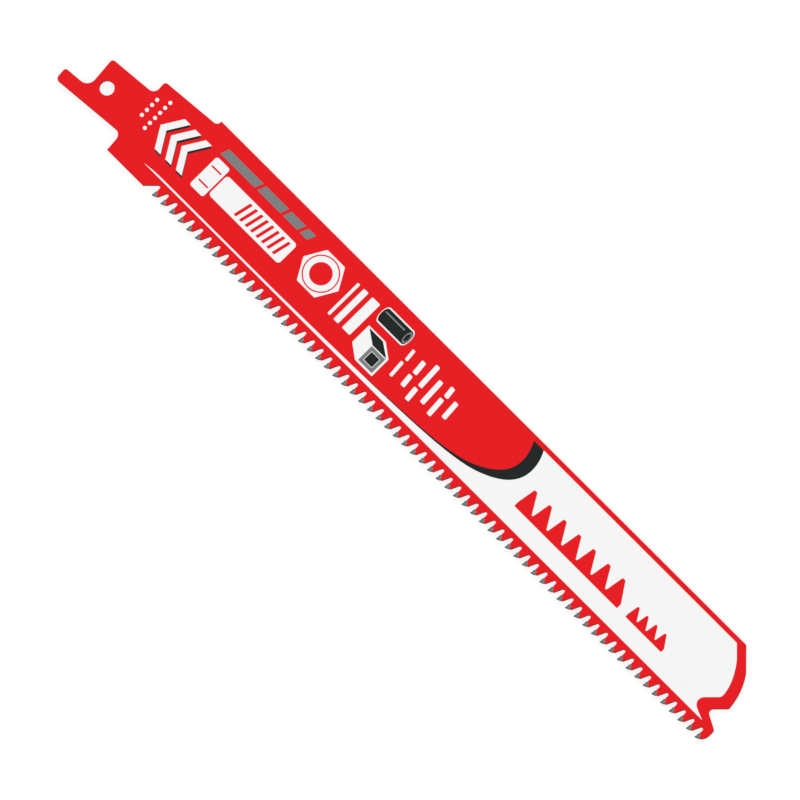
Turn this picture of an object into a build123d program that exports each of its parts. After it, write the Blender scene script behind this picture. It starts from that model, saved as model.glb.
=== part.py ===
# Carbide-tipped reciprocating saw blade.
#
# The blade lies flat in the XY plane. The origin is the centre of the tang hole at mid thickness, +X runs
# along the straight back edge from the tang to the nose, +Y points from the teeth to the back edge, and +Z
# is the normal of the upper face. The tang leans by a few degrees from the body.

from build123d import *

import os
from math import cos, radians, sin, tan

# Plate
plate_thickness = 1.27
edge_break = 0.1

# Tang, measured along and across its own leaning axis from the hole
tang_lean = 5.0
tang_width = 12.7
hole_diameter = 3.7
tongue_reach = 11.1
tongue_width = 3.6
notch_setback = 3.65
shoulder_setback = 9.9
shoulder_offset = 10.35
tongue_heel_radius = 1.0
tongue_tip_radius = 0.75
notch_radius = 2.4
tang_corner_radius = 0.85
shoulder_root_radius = 1.8
shoulder_corner_radius = 0.9

# Body, measured square to the back edge from the hole
back_offset = 14.02
back_start = 25.72
ramp_radius = 1.2
lower_shoulder_drop = 10.66
heel_bevel_angle = 45.0

# Nose, measured back from the foremost point of the toe
nose_reach = 217.9
nose_slope_start = 9.5
nose_slope_run = 4.95
nose_slope_angle = 45.0
nose_radius = 17.5
beak_setback = 1.3
beak_drop = 14.1
beak_radius = 0.6
pocket_upper_angle = 45.0
pocket_lower_angle = 27.5
pocket_radius = 1.0
toe_drop = 6.33
toe_radius = 1.0
toe_flat = 1.67
toe_foot = 1.6

# Teeth: cutting faces look toward the tang, and the row ends at the toe
tooth_pitch = 3.0
row_start = 26.0
toe_width = 2.06
tip_stand = 0.12
gullet_depth = 2.9
gullet_radius = 0.5
tooth_back_angle = 66.0
relief_angle = 21.0

# Carbide tips, each in a three-sided seat in the front of its tooth
seat_rise = 1.43
seat_ledge = 0.42
seat_slope = 14.0
seat_bevel = 0.28
seat_depth = 0.77
heel_clearance = 0.12
tip_lead = 0.17
tip_hook = 0.28
tip_chamfer_height = 0.27
rake_hollow = 0.08
side_clearance = 0.24
side_taper_angle = 6.5
side_root_angle = 6.3

upper_edge = tang_width / 2
lower_edge = -tang_width / 2
tongue_edge = lower_edge + tongue_width
half_thickness = plate_thickness / 2
tip_line = -lower_shoulder_drop - tip_stand
tip_half_width = half_thickness + side_clearance
last_face = nose_reach - toe_width
tooth_count = int((last_face - row_start) / tooth_pitch) + 1
face_positions = [last_face - tooth_pitch * index for index in reversed(range(tooth_count))]


def on_tang(along, across):
    """Body coordinates of a point given along and across the leaning tang."""
    return Vector(along, across).rotate(Axis.Z, tang_lean)


def heading(angle):
    """Unit vector at an angle in degrees from +X."""
    return Vector(cos(radians(angle)), sin(radians(angle)))


def meet(point, angle, other_point, other_angle):
    """Point where two straight lines, each given by a point and an angle, cross."""
    along, other = heading(angle), heading(other_angle)
    gap = other_point - point
    reach = gap.cross(other).Z / along.cross(other).Z
    return point + along * reach


def gullet_centre(face_x):
    return Vector(face_x - gullet_radius, tip_line + gullet_depth - gullet_radius)


def gullet_entry(face_x, flank_angle):
    """Point where a flank rising at the given angle runs into the gullet before a cutting face."""
    return gullet_centre(face_x) + heading(flank_angle + 90) * gullet_radius


def relief_point(face_x, behind, lift):
    """Point on a tooth's relief line, at a distance behind its cutting face and lifted into the tooth."""
    rise = (behind + tip_hook) * tan(radians(relief_angle))
    return Vector(face_x + behind, tip_line + rise + lift)


def seat_corners(face_x, lift):
    """Corners of the seat that a tooth and its tip share, from the cutting face to the relief line."""
    top = Vector(face_x, tip_line + seat_rise)
    ledge_end = top + Vector(seat_ledge, -seat_ledge * tan(radians(seat_slope)))
    bevel_end = ledge_end + Vector(seat_bevel, -seat_bevel)
    return [top, ledge_end, bevel_end, relief_point(face_x, seat_depth, lift)]


shoulder_corner = on_tang(shoulder_setback, shoulder_offset)
ramp_foot = meet(shoulder_corner, tang_lean, Vector(back_start, back_offset), 90)
lower_root = on_tang(shoulder_setback, lower_edge)
lower_shoulder = meet(lower_root, tang_lean - 90, Vector(0, -lower_shoulder_drop), 0)
slope_start = Vector(nose_reach - nose_slope_start, back_offset)
slope_end = slope_start + Vector(nose_slope_run, -nose_slope_run * tan(radians(nose_slope_angle)))
beak = Vector(nose_reach - beak_setback, back_offset - beak_drop)
toe_corner = Vector(nose_reach, -toe_drop)
toe_flat_end = toe_corner - Vector(0, toe_flat)
toe_end = Vector(nose_reach - toe_foot, -lower_shoulder_drop)
pocket_corner = meet(beak, pocket_upper_angle, toe_corner, -pocket_lower_angle)

with BuildPart() as blade_plate:
    with BuildSketch() as blank:
        with BuildLine():
            FilletPolyline(
                lower_shoulder,
                lower_root,
                on_tang(-tongue_reach, lower_edge),
                on_tang(-tongue_reach, tongue_edge),
                on_tang(-notch_setback, tongue_edge),
                on_tang(-notch_setback, upper_edge),
                on_tang(shoulder_setback, upper_edge),
                shoulder_corner,
                ramp_foot,
                Vector(back_start, back_offset),
                slope_start,
                slope_end,
                radius=[
                    shoulder_root_radius,
                    tongue_heel_radius,
                    tongue_tip_radius,
                    notch_radius,
                    tang_corner_radius,
                    shoulder_root_radius,
                    shoulder_corner_radius,
                    ramp_radius,
                    0,
                    0,
                ],
            )
            RadiusArc(slope_end, beak, nose_radius)
            FilletPolyline(beak, pocket_corner, toe_corner, toe_flat_end, radius=[pocket_radius, toe_radius])
            TangentArc(toe_flat_end, toe_end, tangent=(0, -1))
            Line(toe_end, lower_shoulder)
        make_face()
        fillet(blank.vertices().sort_by_distance(beak)[0], radius=beak_radius)
    extrude(amount=half_thickness, both=True)
    chamfer(blade_plate.faces().filter_by(Axis.Z).edges(), length=edge_break)
    Hole(radius=hole_diameter / 2)

    # One cut takes all the steel between the teeth: its upper side is the tooth line
    cut_floor = tip_line - gullet_depth
    with BuildSketch():
        with BuildLine():
            start = Vector(0, tip_line)
            foot, foot_angle, flank_angle = start, 0, heel_bevel_angle
            for face_x in face_positions:
                gullet_start = gullet_entry(face_x, flank_angle)
                Polyline(foot, meet(foot, foot_angle, gullet_start, flank_angle), gullet_start)
                gullet = CenterArc(gullet_centre(face_x), gullet_radius, flank_angle + 90, -flank_angle - 90)
                *seat, foot = seat_corners(face_x, heel_clearance)
                Polyline(gullet @ 1, *seat, foot)
                foot_angle, flank_angle = relief_angle, tooth_back_angle
            cut_end = meet(foot, relief_angle, Vector(nose_reach + gullet_depth, 0), 90)
            Polyline(foot, cut_end, Vector(cut_end.X, cut_floor), Vector(0, cut_floor), start)
        make_face()
    extrude(amount=plate_thickness, both=True, mode=Mode.SUBTRACT)

blade_plate.part.label = "blade_plate"

with BuildPart() as carbide_tip:
    with BuildSketch():
        with BuildLine():
            cutting_point = relief_point(0, -tip_hook, 0)
            corners = seat_corners(0, 0)
            rake_top = corners[0] - Vector(tip_lead, tip_chamfer_height)
            Polyline(rake_top, *corners, cutting_point)
            SagittaArc(cutting_point, rake_top, -rake_hollow)
        make_face()
    extrude(amount=tip_half_width)
    side_normal = (tan(radians(side_taper_angle)), tan(radians(side_root_angle)), 1)
    ground_side = Plane(origin=cutting_point + Vector(0, 0, tip_half_width), z_dir=side_normal)
    split(bisect_by=ground_side, keep=Keep.BOTTOM)
    mirror(about=Plane.XY)

with BuildPart() as carbide_tips:
    with Locations(*[(face_x, 0) for face_x in face_positions]):
        add(carbide_tip.part)

carbide_tips.part.label = "carbide_tips"

os.makedirs("parts", exist_ok=True)
export_step(blade_plate.part, "parts/blade_plate.step")
export_step(carbide_tips.part, "parts/carbide_tips.step")
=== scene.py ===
from math import cos, pi, radians, sin, tan

import bmesh
import bpy
from mathutils import Matrix, Vector
from mathutils.geometry import interpolate_bezier


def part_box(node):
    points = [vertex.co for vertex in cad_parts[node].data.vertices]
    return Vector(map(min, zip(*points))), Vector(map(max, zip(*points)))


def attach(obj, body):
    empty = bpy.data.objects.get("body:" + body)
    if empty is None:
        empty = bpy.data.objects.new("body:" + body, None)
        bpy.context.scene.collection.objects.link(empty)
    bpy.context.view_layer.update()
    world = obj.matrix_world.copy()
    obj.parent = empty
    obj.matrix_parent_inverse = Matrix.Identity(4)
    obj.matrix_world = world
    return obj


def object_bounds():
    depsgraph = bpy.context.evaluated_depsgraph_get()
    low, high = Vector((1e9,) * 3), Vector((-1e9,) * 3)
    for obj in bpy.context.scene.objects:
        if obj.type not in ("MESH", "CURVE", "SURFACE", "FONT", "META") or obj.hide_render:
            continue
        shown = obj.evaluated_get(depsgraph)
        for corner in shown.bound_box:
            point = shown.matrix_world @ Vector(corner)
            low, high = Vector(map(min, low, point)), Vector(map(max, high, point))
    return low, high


# A carbide-tipped reciprocating saw blade, lying flat with its printed face up.
# Lengths in the dictionaries are millimetres from the centre of the tang hole:
# x runs along the blade to the nose, y from the teeth to the back edge, z out of the print.

mm = 0.001
seenRays = ("Camera", "Glossy", "Transmission")

print("frame: plate and tips")
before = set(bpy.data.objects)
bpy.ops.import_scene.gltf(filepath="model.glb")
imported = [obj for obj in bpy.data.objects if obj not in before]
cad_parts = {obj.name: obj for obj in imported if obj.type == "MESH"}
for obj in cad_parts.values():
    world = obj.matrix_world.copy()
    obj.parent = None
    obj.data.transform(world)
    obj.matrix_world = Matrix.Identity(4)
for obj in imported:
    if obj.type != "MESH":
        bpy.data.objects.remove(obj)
cadLow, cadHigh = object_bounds()
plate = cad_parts["blade_plate"]
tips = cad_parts["carbide_tips"]
plateLow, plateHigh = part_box("blade_plate")
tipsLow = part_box("carbide_tips")[0]
backEdge = plateHigh.y / mm
noseEnd = plateHigh.x / mm


class Wire:
    # a node's socket that adds, multiplies and compares like a number

    def __init__(self, finish, socket):
        self.finish = finish
        self.socket = socket

    def maths(self, operation, first, second=0.0):
        return self.finish.node("ShaderNodeMath", {"operation": operation}, {0: first, 1: second})

    def __add__(self, other):
        return self.maths("ADD", self, other)

    def __radd__(self, other):
        return self.maths("ADD", other, self)

    def __sub__(self, other):
        return self.maths("SUBTRACT", self, other)

    def __rsub__(self, other):
        return self.maths("SUBTRACT", other, self)

    def __mul__(self, other):
        return self.maths("MULTIPLY", self, other)

    def __rmul__(self, other):
        return self.maths("MULTIPLY", other, self)

    def __mod__(self, other):
        return self.maths("FLOORED_MODULO", self, other)

    def __lt__(self, other):
        return self.maths("LESS_THAN", self, other)

    def __gt__(self, other):
        return self.maths("GREATER_THAN", self, other)

    def __abs__(self):
        return self.maths("ABSOLUTE", self)


class Finish:
    # a material or world being wired up

    def __init__(self, owner):
        owner.use_nodes = True
        self.owner = owner
        self.tree = owner.node_tree
        self.tree.nodes.clear()

    def node(self, kind, settings=None, inputs=None, output=0):
        made = self.tree.nodes.new(kind)
        for name, value in (settings or {}).items():
            setattr(made, name, value)
        for name, value in (inputs or {}).items():
            if isinstance(value, Wire):
                self.tree.links.new(value.socket, made.inputs[name])
            else:
                made.inputs[name].default_value = value
        return Wire(self, made.outputs[output]) if made.outputs else None

    def place(self):
        # where a point lies on the blade, in millimetres
        inputs = {0: self.node("ShaderNodeTexCoord", output="Object"), "Scale": 1 / mm}
        return self.node("ShaderNodeVectorMath", {"operation": "SCALE"}, inputs)

    def axis(self, vector, letter):
        return self.node("ShaderNodeSeparateXYZ", None, {0: vector}, letter)

    def stretch(self, vector, amounts):
        inputs = {0: vector, 1: amounts}
        return self.node("ShaderNodeVectorMath", {"operation": "MULTIPLY"}, inputs)

    def cloud(self, vector, grain, detail=2.0):
        # noise from 0 to 1 with blotches about as wide as the grain, in millimetres
        inputs = {"Vector": vector, "Scale": 1 / grain, "Detail": detail}
        return self.node("ShaderNodeTexNoise", None, inputs)

    def blend(self, amount, first, second):
        inputs = {0: amount, 6: first, 7: second}
        return self.node("ShaderNodeMix", {"data_type": "RGBA"}, inputs, 2)

    def shade(self, colour, brightness):
        # the colour times a brightness near 1
        settings = {"data_type": "RGBA", "blend_type": "MULTIPLY"}
        return self.node("ShaderNodeMix", settings, {0: 1.0, 6: colour, 7: brightness}, 2)

    def ramp(self, value, low, high):
        # 0 below low, 1 above high and smooth in between
        inputs = {"Value": value, "From Min": low, "From Max": high}
        return self.node("ShaderNodeMapRange", {"interpolation_type": "SMOOTHSTEP"}, inputs)

    def bump(self, height):
        # relief of a height in millimetres
        inputs = {"Height": height, "Distance": mm, "Strength": 1.0}
        return self.node("ShaderNodeBump", None, inputs)

    def levelness(self):
        # 1 on level faces, 0 on upright walls, whichever side of the blade they are on
        return abs(self.axis(self.node("ShaderNodeNewGeometry", output="True Normal"), "Z"))

    def seen(self, share):
        # the share for what the camera and reflections see, 0 for the light that falls on things
        rays = [self.node("ShaderNodeLightPath", output=f"Is {kind} Ray") for kind in seenRays]
        return share * (rays[0] + rays[1] + rays[2] > 0.5)

    def surface(self, **sockets):
        inputs = {name.replace("_", " "): value for name, value in sockets.items()}
        shader = self.node("ShaderNodeBsdfPrincipled", None, inputs)
        self.node("ShaderNodeOutputMaterial", None, {"Surface": shader})
        return self.owner


def linear(red, green, blue):
    # a screen colour, 0 to 255, as the linear colour that a shader takes
    shares = [value / 255 for value in (red, green, blue)]
    return [s / 12.92 if s <= 0.04045 else ((s + 0.055) / 1.055) ** 2.4 for s in shares] + [1.0]


# Coated spring steel: red coat on the faces, dark bare steel where the edges were cut, and a
# painted shade on the coat's slanted broken rim
plateLook = {
    "coat": linear(228, 30, 35),
    "brightness": 0.985,                # of the coat at the darkest of its mottle
    "mottleShade": 0.03,
    # painted shade: how much darker the coat is painted on the slanted broken rim, standing in for
    # the shade that falls there
    "rimPaintedShade": 0.1,
    "steel": linear(116, 113, 104),
    "steelDark": linear(74, 71, 63),
    "cutShare": 0.6,                    # the rest of the steel's pattern is scale
    "sheen": linear(90, 88, 82),        # dims the glint of the cut edges seen at a low angle
    "gloss": 0.1,
    "roughness": 0.5,
    "mottleRoughness": 0.08,
    "peelRoughness": 0.06,
    "cutPolish": 0.12,
    "wallBelow": 0.4,                   # levelness under which a face is a cut edge
    "rimBelow": 0.9,                    # and under which it is the broken rim of a face
    "mottleGrain": 9.0,
    "peelGrain": 0.45,
    "peelHeight": 0.003,
    "scaleGrain": 0.7,
    "cutGrain": 0.06,
    "cutStretch": (1.0, 1.0, 0.08),
    "cutHeight": 0.006,
}


def coatedSteel():
    look = plateLook
    finish = Finish(bpy.data.materials.new("coatedSteel"))
    spot = finish.place()
    levelness = finish.levelness()
    wall = levelness < look["wallBelow"]
    shadedRim = (levelness < look["rimBelow"]) - wall
    mottle = finish.cloud(spot, look["mottleGrain"], detail=3.0)
    peel = finish.cloud(spot, look["peelGrain"])
    cut = finish.cloud(finish.stretch(spot, look["cutStretch"]), look["cutGrain"], detail=3.0)
    scale = finish.cloud(spot, look["scaleGrain"], detail=3.0)
    # the coat's brightness holds its random mottle and a painted shade that darkens the slanted
    # broken rim
    brightness = look["brightness"] + mottle * look["mottleShade"] - shadedRim * look["rimPaintedShade"]
    coat = finish.shade(look["coat"], brightness)
    pattern = cut * look["cutShare"] + scale * (1 - look["cutShare"])
    steel = finish.blend(pattern, look["steelDark"], look["steel"])
    roughness = look["roughness"] + mottle * look["mottleRoughness"] + peel * look["peelRoughness"]
    height = peel * (1 - wall) * look["peelHeight"] + cut * wall * look["cutHeight"]
    return finish.surface(
        Base_Color=finish.blend(wall, coat, steel),
        Metallic=wall,
        Roughness=roughness - wall * look["cutPolish"],
        Specular_IOR_Level=look["gloss"],
        Specular_Tint=look["sheen"],
        Normal=finish.bump(height),
    )


# Ground carbide: fine grey with grinding lines along the flanks, and a painted shade that darkens
# each tip toward its cutting point
tipLook = {
    "body": linear(113, 116, 118),
    # painted shade: the darker grey put at each tip's cutting point, where its tapered front facet
    # would fall into shade
    "point": linear(66, 69, 71),
    "edge": linear(104, 106, 104),
    "brightness": 0.88,                 # at the darkest of the grain and the grinding lines
    "grainShade": 0.14,
    "lineShade": 0.1,
    "sheen": linear(124, 124, 124),
    "roughness": 0.38,
    "grainRoughness": 0.12,
    "wallBelow": 0.5,
    "pitch": 3.0,
    "pointEnd": 0.14,                   # from the cutting point to where the dark begins to fade
    "bodyStart": 0.46,                  # and to where it has faded
    "grain": 0.05,
    "lineGrain": 0.035,
    "lineStretch": (0.12, 1.0, 1.0),
    "lineHeight": 0.003,
}


def groundCarbide():
    look = tipLook
    finish = Finish(bpy.data.materials.new("groundCarbide"))
    spot = finish.place()
    wall = finish.levelness() < look["wallBelow"]
    behind = (finish.axis(spot, "X") - tipsLow.x / mm) % look["pitch"]
    fromPoint = finish.ramp(behind, look["pointEnd"], look["bodyStart"])
    grains = finish.cloud(spot, look["grain"], detail=4.0)
    lines = finish.cloud(finish.stretch(spot, look["lineStretch"]), look["lineGrain"])
    # each tip's flank runs from the painted shade at its point to the body grey
    shadedFlank = finish.blend(fromPoint, look["point"], look["body"])
    brightness = look["brightness"] + grains * look["grainShade"] + lines * look["lineShade"]
    return finish.surface(
        Base_Color=finish.shade(finish.blend(wall, shadedFlank, look["edge"]), brightness),
        Metallic=1.0,
        Roughness=look["roughness"] + grains * look["grainRoughness"],
        Specular_Tint=look["sheen"],
        Normal=finish.bump(lines * look["lineHeight"]),
    )


# Screen-printed inks: a soft satin film with a little texture of its own
inkLook = {
    "white": linear(242, 242, 242),
    "dark": linear(26, 31, 31),
    "grey": linear(122, 124, 125),
    "brightness": 0.99,
    "mottleShade": 0.02,
    "gloss": 0.1,
    "roughness": 0.5,
    "mottleRoughness": 0.08,
    "meshRoughness": 0.06,
    "mottleGrain": 7.0,
    "meshGrain": 0.2,
    "meshHeight": 0.0015,
}


def ink(name):
    look = inkLook
    finish = Finish(bpy.data.materials.new(name + "Ink"))
    spot = finish.place()
    mottle = finish.cloud(spot, look["mottleGrain"], detail=3.0)
    mesh = finish.cloud(spot, look["meshGrain"])
    roughness = look["roughness"] + mottle * look["mottleRoughness"] + mesh * look["meshRoughness"]
    return finish.surface(
        Base_Color=finish.shade(look[name], look["brightness"] + mottle * look["mottleShade"]),
        Roughness=roughness,
        Specular_IOR_Level=look["gloss"],
        Normal=finish.bump(mesh * look["meshHeight"]),
    )


def cornered(corners, step=radians(9)):
    # a closed outline through (x, y) or (x, y, radius) corners, with arcs at the rounded ones
    points = []
    for index, (x, y, *rounding) in enumerate(corners):
        corner = Vector((x, y))
        if not rounding:
            points.append(corner)
            continue
        toLast = (Vector(corners[index - 1][:2]) - corner).normalized()
        toNext = (Vector(corners[(index + 1) % len(corners)][:2]) - corner).normalized()
        half = toLast.angle(toNext) / 2
        centre = corner + (toLast + toNext).normalized() * rounding[0] / sin(half)
        spoke = corner + toLast * rounding[0] / tan(half) - centre
        turn = pi - 2 * half
        side = 1 if toLast.cross(toNext) < 0 else -1
        count = max(2, round(turn / step))
        turns = [side * turn * i / count for i in range(count + 1)]
        points += [centre + Matrix.Rotation(angle, 2) @ spoke for angle in turns]
    return points


def curved(start, *bends, steps=14):
    # a line along cubic bends; each bend is two handles and an end, from where the last one ended
    points = [Vector(start)]
    for firstHandle, secondHandle, end in bends:
        knots = [points[-1], Vector(firstHandle), Vector(secondHandle), Vector(end)]
        points += [Vector(point[:2]) for point in interpolate_bezier(*knots, steps)[1:]]
    return points


def disc(x, y, radius, count=48, squash=1.0):
    halfWidth = squash * radius
    angles = [2 * pi * index / count for index in range(count)]
    return [Vector((x + halfWidth * cos(angle), y + radius * sin(angle))) for angle in angles]


def block(x, y, width, height, lean=0.0, radius=0.0):
    # a rectangle about its centre, its top leaning along x
    halfWidth, halfHeight = width / 2, height / 2
    corners = [
        (x - halfWidth - lean / 2, y - halfHeight),
        (x + halfWidth - lean / 2, y - halfHeight),
        (x + halfWidth + lean / 2, y + halfHeight),
        (x - halfWidth + lean / 2, y + halfHeight),
    ]
    return cornered([(*corner, radius) if radius else corner for corner in corners])


# Every film starts a little inside its face, and each later layer stands one step higher
film = {"thickness": 0.02, "sink": 0.005, "weld": 0.002}


def printFilm(name, outlines, material, layer=0, face=1):
    # a film cut to closed outlines, open where one lies inside another; face -1 is the underside
    top = (layer + 1) * film["thickness"]
    drawing = bpy.data.curves.new(name + "Drawing", "CURVE")
    drawing.dimensions = "2D"
    drawing.fill_mode = "BOTH"
    drawing.extrude = (top + film["sink"]) / 2
    for outline in outlines:
        spline = drawing.splines.new("POLY")
        spline.points.add(len(outline) - 1)
        for point, (x, y) in zip(spline.points, outline):
            point.co = (x, y, 0.0, 1.0)
        spline.use_cyclic_u = True
    sketch = bpy.data.objects.new(name + "Drawing", drawing)
    mesh = bpy.data.meshes.new_from_object(sketch)
    bpy.data.objects.remove(sketch)
    bpy.data.curves.remove(drawing)
    mesh.transform(Matrix.Scale(mm, 4))
    middle = plateHigh.z + (top - film["sink"]) / 2 * mm
    mesh.transform(Matrix.Translation((0, 0, face * middle)))
    tidy = bmesh.new()
    tidy.from_mesh(mesh)
    bmesh.ops.remove_doubles(tidy, verts=tidy.verts, dist=film["weld"] * mm)
    bmesh.ops.recalc_face_normals(tidy, faces=tidy.faces)
    tidy.to_mesh(mesh)
    tidy.free()
    mesh.materials.clear()
    mesh.materials.append(material)
    piece = bpy.data.objects.new(name, mesh)
    bpy.context.scene.collection.objects.link(piece)
    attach(piece, "root")
    return piece


print("finishes: coat, steel, carbide and inks")
dressing = ((plate, coatedSteel(), "coated_steel"), (tips, groundCarbide(), "ground_carbide"))
for node, material, slot in dressing:
    node.data.materials.clear()
    node.data.materials.append(material)
whiteInk, darkInk, greyInk = ink("white"), ink("dark"), ink("grey")


# The pale field of the nose half, with the stripe that runs from it along the teeth
field = {
    "border": 1.3,                      # red left along the back edge
    "bottom": -6.62,
    "stripePoint": 19.6,
    "sweepTop": 139.4,                  # where the sweep's outer edge meets the back border
    "innerSweepTop": 136.0,
}
fieldTop = backEdge - field["border"]


def sweepEdge():
    # from the stripe's point, along its upper edge and round to the back border
    return curved(
        (field["stripePoint"], field["bottom"]),
        ((21.0, -6.45), (22.4, -6.2), (26.0, -6.17)),
        ((40.0, -6.15), (54.0, -6.14), (66.0, -6.07)),
        ((76.0, -5.95), (88.0, -5.75), (98.0, -5.52)),
        ((112.0, -5.0), (126.0, -4.8), (132.5, -2.05)),
        ((138.0, 0.1), (140.9, 3.0), (140.9, 7.2)),
        ((140.9, 9.2), (140.4, 10.9), (field["sweepTop"], fieldTop)),
    )


def innerSweepEdge():
    return curved(
        (93.0, -5.62),
        ((98.0, -5.36), (105.0, -5.03), (110.0, -4.79)),
        ((117.0, -4.38), (125.4, -3.8), (130.0, -1.58)),
        ((134.6, 0.5), (137.6, 3.4), (137.5, 7.2)),
        ((137.5, 9.2), (136.9, 11.0), (field["innerSweepTop"], fieldTop)),
    )


# The field's nose end follows the blade's nose at a wider border; all measured back from the nose
nose = {
    "slopeTop": 11.4,
    "slopeLength": 3.0,
    "arc": ((6.7, 7.6), (5.0, 4.7), (4.65, 1.7)),
    "beak": ((4.63, 1.1), (4.7, 0.62), (4.96, 0.35)),
    "pocketStart": (7.43, -2.13),
    "pocket": ((8.3, -3.0), (8.5, -4.3), (7.3, -5.15)),
    "toe": ((6.5, -5.65), (5.2, -6.1), (3.9, field["bottom"])),
}


def noseEdge():
    # from the back border down to the point at the toe
    def fromNose(bend):
        return [(noseEnd - back, y) for back, y in bend]

    top = Vector((noseEnd - nose["slopeTop"], fieldTop))
    slopeEnd = top + Vector((nose["slopeLength"], -nose["slopeLength"]))
    upper = curved(slopeEnd, fromNose(nose["arc"]), fromNose(nose["beak"]))
    pocketStart = fromNose([nose["pocketStart"]])[0]
    lower = curved(pocketStart, fromNose(nose["pocket"]), fromNose(nose["toe"]))
    return [top, *upper, *lower]


# Two rows of saw teeth left open in the pale field, their steep sides toward the tang
sawTeeth = {
    "rows": (
        {"start": 144.0, "low": -2.0, "bar": 1.4, "pitch": 5.1, "height": 4.9, "count": 7},
        {"start": 182.6, "low": -2.0, "bar": 1.1, "pitch": 3.1, "height": 2.9, "count": 4},
    ),
    "frontTop": 0.16,                   # this and the next two are shares of the pitch
    "backTop": 0.34,
    "backEnd": 0.92,
    "radius": 0.25,
}


def toothRow(start, low, bar, pitch, height, count):
    # each tooth: steep front, a short land at its top and a long back
    base = low + bar
    corners = [(start, low)]
    for x in (start + pitch * index for index in range(count)):
        corners += [
            (x, base),
            (x + sawTeeth["frontTop"] * pitch, base + height),
            (x + sawTeeth["backTop"] * pitch, base + height),
            (x + sawTeeth["backEnd"] * pitch, base),
        ]
    corners[-1:] = [(start + count * pitch, base), (start + count * pitch, low)]
    return cornered([(*corner, sawTeeth["radius"]) for corner in corners])


print("print: pale field, stripe and sweep on both faces")
toothHoles = [toothRow(**row) for row in sawTeeth["rows"]]
outerEdge, innerEdge = sweepEdge(), innerSweepEdge()
fieldOutline = [*outerEdge, *noseEdge()]
besideInner = [point for point in outerEdge if point.x > innerEdge[0].x]
sweepOutline = [*innerEdge, *reversed(besideInner)]
printFilm("field_print", [fieldOutline, *toothHoles], whiteInk)
printFilm("sweep_print", [sweepOutline], darkInk)
printFilm("field_print_under", [fieldOutline], whiteInk, face=-1)
printFilm("sweep_print_under", [sweepOutline], darkInk, face=-1)


# Two dotted rows on the tang, each by its x and its number of dots
dots = {"y": 4.0, "pitch": 1.75, "radius": 0.5, "rows": {10.8: 4, 13.6: 6}}


def dotOutlines():
    outlines = []
    for x, count in dots["rows"].items():
        places = [dots["y"] + dots["pitch"] * (index - (count - 1) / 2) for index in range(count)]
        outlines += [disc(x, y, dots["radius"], 24) for y in places]
    return outlines


# Three arrows toward the saw, over a dark shadow
arrows = {
    "x": 15.8,
    "y": 2.9,
    "pitch": 3.7,
    "count": 3,
    "reach": 3.2,
    "thickness": 2.0,
    "halfHeight": 5.2,
    "shadow": 0.4,
}


def arrowOutlines(shift=0.0):
    half, reach, thickness = arrows["halfHeight"], arrows["reach"], arrows["thickness"]
    outlines = []
    for index in range(arrows["count"]):
        x = arrows["x"] + index * arrows["pitch"] + shift
        y = arrows["y"] - shift
        back = [(x + reach, y + half), (x + reach + thickness, y + half), (x + thickness, y)]
        front = [(x + reach + thickness, y - half), (x + reach, y - half)]
        outlines.append(cornered([(x, y), *back, *front]))
    return outlines


# A bolt along the blade, its thread and the edges of its head left red
bolt = {
    "x": 31.2,
    "y": 2.4,
    "head": {"length": 4.6, "height": 9.6, "radius": 0.7},
    "line": {"width": 0.45, "offset": 2.3, "inset": 0.7},
    "gap": 0.5,
    "shank": {"length": 24.4, "height": 6.6, "radius": 0.9},
    "thread": {"start": 8.8, "pitch": 1.9, "count": 8, "width": 0.85, "height": 4.8, "lean": 1.1},
}


def boltOutlines():
    y, head, line, shank, thread = (bolt[key] for key in ("y", "head", "line", "shank", "thread"))
    headX = bolt["x"] + head["length"] / 2
    shankStart = bolt["x"] + head["length"] + bolt["gap"]
    shankX = shankStart + shank["length"] / 2
    outlines = [
        block(headX, y, head["length"], head["height"], radius=head["radius"]),
        block(shankX, y, shank["length"], shank["height"], radius=shank["radius"]),
    ]
    for side in (-1, 1):
        lineLength = head["length"] - 2 * line["inset"]
        outlines.append(block(headX, y + side * line["offset"], lineLength, line["width"]))
    threadStart = shankStart + thread["start"]
    for turn in range(thread["count"]):
        lineX = threadStart + thread["pitch"] * turn
        outlines.append(block(lineX, y, thread["width"], thread["height"], thread["lean"]))
    return outlines


# Grey bars that shorten toward the nose, between the bolt and the back edge
dashes = {
    "x": 31.6,
    "y": 9.4,
    "height": 2.3,
    "gap": 0.9,
    "lean": 0.9,
    "lengths": (12.0, 8.0, 5.0, 2.6),
}


def dashOutlines():
    x, y, height, lean = dashes["x"], dashes["y"], dashes["height"], dashes["lean"]
    outlines = []
    for length in dashes["lengths"]:
        outlines.append(block(x + length / 2, y, length, height, lean))
        x += length + dashes["gap"]
    return outlines


# A hexagon nut with a line round its chamfer
nut = {"x": 69.8, "y": 4.8, "reach": 6.1, "radius": 0.5, "rings": (4.75, 4.4, 2.9)}


def nutOutlines():
    corners = disc(nut["x"], nut["y"], nut["reach"], 6)
    hexagon = cornered([(*corner, nut["radius"]) for corner in corners])
    return [hexagon, *(disc(nut["x"], nut["y"], radius) for radius in nut["rings"])]


# Three sheets of growing thickness beside it
sheets = {
    "y": 4.4,
    "length": 10.6,
    "radius": 0.3,
    "places": (78.2, 80.7, 84.2),
    "thickness": (0.8, 1.6, 2.7),
}


def sheetOutlines():
    y, length, radius = sheets["y"], sheets["length"], sheets["radius"]
    rows = zip(sheets["places"], sheets["thickness"])
    return [block(x, y, thickness, length, radius=radius) for x, thickness in rows]


# A square tube drawn on end, its right toward the back edge and its top toward the tang
tube = {
    "x": 96.2,
    "y": -3.8,
    "side": 5.0,
    "wall": 1.0,
    "depth": (2.6, 3.6),
    "line": 0.14,
    "outline": 0.4,
}


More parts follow.
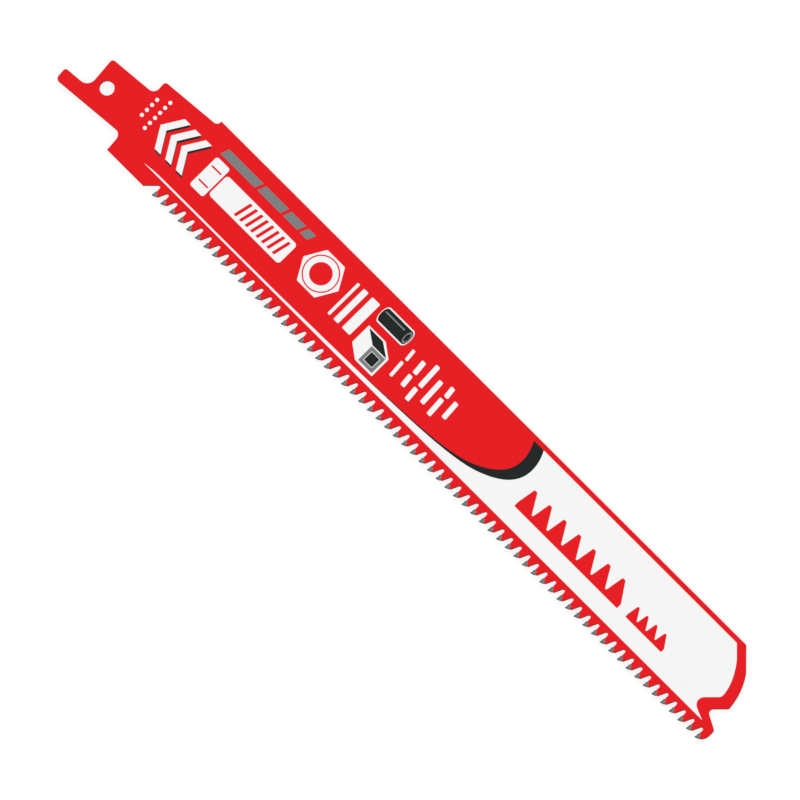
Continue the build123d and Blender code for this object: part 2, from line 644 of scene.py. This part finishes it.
def onTube(*points):
    # corners drawn to the right and up from the tube's near corner
    return cornered([(tube["x"] - up, tube["y"] + right) for right, up in points])


def tubeSquare(inset):
    low, high = inset, tube["side"] - inset
    return onTube((low, low), (high, low), (high, high), (low, high))


def tubeSilhouette():
    side, (right, up), grow = tube["side"], tube["depth"], tube["outline"]
    return onTube(
        (-grow, -grow),
        (side + grow, -grow),
        (side + right + grow, up - grow),
        (side + right + grow, side + up + grow),
        (right - grow, side + up + grow),
        (-grow, side + grow),
    )


def tubeFlank():
    side, (right, up), line = tube["side"], tube["depth"], tube["line"]
    low, high = side + line, side + right
    return onTube((low, line), (high, up + line), (high, side + up - line), (low, side - line))


# A round bar along the blade, with a ring on its near end and a glint down its side
bar = {
    "x": 92.0,
    "y": 8.6,
    "length": 8.0,
    "radius": 2.0,
    "squash": 0.45,
    "outline": 0.4,
    "ring": (1.72, 1.15),
    "glint": {"x": 91.0, "y": 9.5, "width": 6.6, "height": 0.4, "radius": 0.18},
}
barNear = bar["x"] + bar["length"] / 2
barFar = bar["x"] - bar["length"] / 2


def barEnd(x, radius, count=48):
    return disc(x, bar["y"], radius, count, bar["squash"])


def barOutline(grow=0.0):
    radius = bar["radius"] + grow
    near = [point for point in barEnd(barNear, radius) if point.x >= barNear]
    far = [point for point in barEnd(barFar, radius) if point.x <= barFar]
    return sorted(near, key=lambda point: point.y) + sorted(far, key=lambda point: -point.y)


def barMarks():
    return [*(barEnd(barNear, radius, 36) for radius in bar["ring"]), block(**bar["glint"])]


# Rows of short strokes toward the nose
strokes = {
    "y": 3.4,
    "gap": 0.8,
    "lean": -0.35,
    "radius": 0.3,
    "rows": (
        {"x": 99.6, "thickness": 0.9, "lengths": (4.6, 3.2)},
        {"x": 103.4, "thickness": 1.3, "lengths": (3.4, 3.8)},
        {"x": 106.6, "thickness": 1.3, "lengths": (3.8, 6.8)},
        {"x": 109.8, "thickness": 1.3, "lengths": (7.2,)},
        {"x": 113.0, "thickness": 1.3, "lengths": (5.2, 3.0)},
        {"x": 116.2, "thickness": 1.3, "lengths": (5.0,)},
    ),
}


def strokeOutlines():
    gap, lean, radius = strokes["gap"], strokes["lean"], strokes["radius"]
    outlines = []
    for row in strokes["rows"]:
        total = sum(row["lengths"]) + gap * (len(row["lengths"]) - 1)
        y = strokes["y"] - total / 2
        for length in row["lengths"]:
            outlines.append(block(row["x"], y + length / 2, row["thickness"], length, lean, radius))
            y += length + gap
    return outlines


print("print: marks on the red half")
tubeEnd = [tubeSquare(tube["line"]), tubeSquare(tube["wall"])]
tubeShade = [tubeSquare(tube["wall"] + tube["line"]), tubeFlank()]
printFilm("arrow_shadow_print", arrowOutlines(arrows["shadow"]), darkInk)
printFilm("arrow_print", arrowOutlines(), whiteInk, layer=1)
printFilm("dot_print", dotOutlines(), whiteInk)
printFilm("bolt_print", boltOutlines(), whiteInk)
printFilm("dash_print", dashOutlines(), greyInk)
printFilm("nut_print", [*nutOutlines(), *sheetOutlines()], whiteInk)
printFilm("stroke_print", strokeOutlines(), whiteInk)
printFilm("tube_print", [tubeSilhouette()], whiteInk)
printFilm("tube_end_print", tubeEnd, greyInk, layer=1)
printFilm("tube_shade_print", tubeShade, darkInk, layer=1)
printFilm("bar_print", [barOutline(bar["outline"])], whiteInk)
printFilm("bar_body_print", [barOutline()], darkInk, layer=1)
printFilm("bar_mark_print", barMarks(), greyInk, layer=2)


# The camera stands almost square over the blade, leaning a little toward the nose and the teeth
camera = {
    "target": (105.68, -3.4),
    "turn": 45.18,                      # degrees that the blade's length turns in the picture
    "lean": 8.5,                        # degrees off the plate's normal
    "leanToward": -24.4,                # degrees from +x
    "across": 195.44,                   # width of the picture at the blade
    "lens": 1500.0,
    "sensor": 36.0,
}


def aimCamera():
    data = bpy.data.cameras.new("camera")
    data.lens = camera["lens"]
    data.sensor_width = camera["sensor"]
    distance = camera["across"] * mm * camera["lens"] / camera["sensor"]
    data.clip_start = distance * 0.1
    data.clip_end = distance * 3
    toward = radians(camera["leanToward"])
    hinge = Vector((-sin(toward), cos(toward), 0))
    target = Vector((*camera["target"], 0)) * mm + Vector((0, 0, plateHigh.z))
    view = bpy.data.objects.new("camera", data)
    view.matrix_world = (
        Matrix.Translation(target)
        @ Matrix.Rotation(radians(camera["lean"]), 4, hinge)
        @ Matrix.Rotation(radians(camera["turn"]), 4, "Z")
        @ Matrix.Translation((0, 0, distance))
    )
    bpy.context.scene.collection.objects.link(view)
    bpy.context.scene.camera = view


# Soft studio light: an even pale surround and two large lamps, far enough aside to leave no glare;
# their places, from the middle of the blade, and their sizes are metres
lamps = {
    "key": {"place": (-0.35, 0.75, 0.95), "size": 0.8, "power": 3.8},
    "fill": {"place": (0.75, -0.55, 0.85), "size": 1.0, "power": 1.8},
}


def hangLamp(name, place, size, power):
    data = bpy.data.lights.new(name, "AREA")
    data.size = size
    data.energy = power
    lamp = bpy.data.objects.new(name, data)
    middle = Vector(((cadLow.x + cadHigh.x) / 2, 0, 0))
    lamp.location = middle + Vector(place)
    lamp.rotation_euler = (lamp.location - middle).to_track_quat("Z", "Y").to_euler()
    lamp.visible_camera = False
    bpy.context.scene.collection.objects.link(lamp)


white = (1, 1, 1, 1)
surround = {"lighting": 0.8, "seen": 1.0}


def lightSurround():
    world = bpy.data.worlds.new("surround")
    bpy.context.scene.world = world
    finish = Finish(world)
    lit, pale = [
        finish.node("ShaderNodeBackground", None, {"Color": white, "Strength": surround[part]})
        for part in ("lighting", "seen")
    ]
    mixed = finish.node("ShaderNodeMixShader", None, {0: finish.seen(1.0), 1: lit, 2: pale})
    finish.node("ShaderNodeOutputWorld", None, {"Surface": mixed})


# The floor lies under the tips; most of what the camera and reflections see of it is plain white
floorLook = {
    "reach": 8000.0,
    "drop": 0.02,
    "colour": (0.9, 0.9, 0.9, 1),
    "whiteness": 0.76,
    "glow": 1.06,
}


def layFloor():
    mesh = bpy.data.meshes.new("floor")
    reach = floorLook["reach"] * mm
    height = min(plateLow.z, tipsLow.z) - floorLook["drop"] * mm
    corners = [(x * reach, y * reach, height) for x, y in ((-1, -1), (1, -1), (1, 1), (-1, 1))]
    mesh.from_pydata(corners, [], [(0, 1, 2, 3)])
    finish = Finish(bpy.data.materials.new("paleFloor"))
    matt = finish.node("ShaderNodeBsdfDiffuse", None, {"Color": floorLook["colour"]})
    glow = finish.node("ShaderNodeEmission", None, {"Color": white, "Strength": floorLook["glow"]})
    whiteness = finish.seen(floorLook["whiteness"])
    mixed = finish.node("ShaderNodeMixShader", None, {0: whiteness, 1: matt, 2: glow})
    finish.node("ShaderNodeOutputMaterial", None, {"Surface": mixed})
    mesh.materials.append(finish.owner)
    ground = bpy.data.objects.new("floor", mesh)
    bpy.context.scene.collection.objects.link(ground)


print("stage: camera, lamps and floor")
aimCamera()
for name, lamp in lamps.items():
    hangLamp(name, **lamp)
lightSurround()
layFloor()
bpy.context.scene.view_settings.view_transform = "Standard"

print("done")
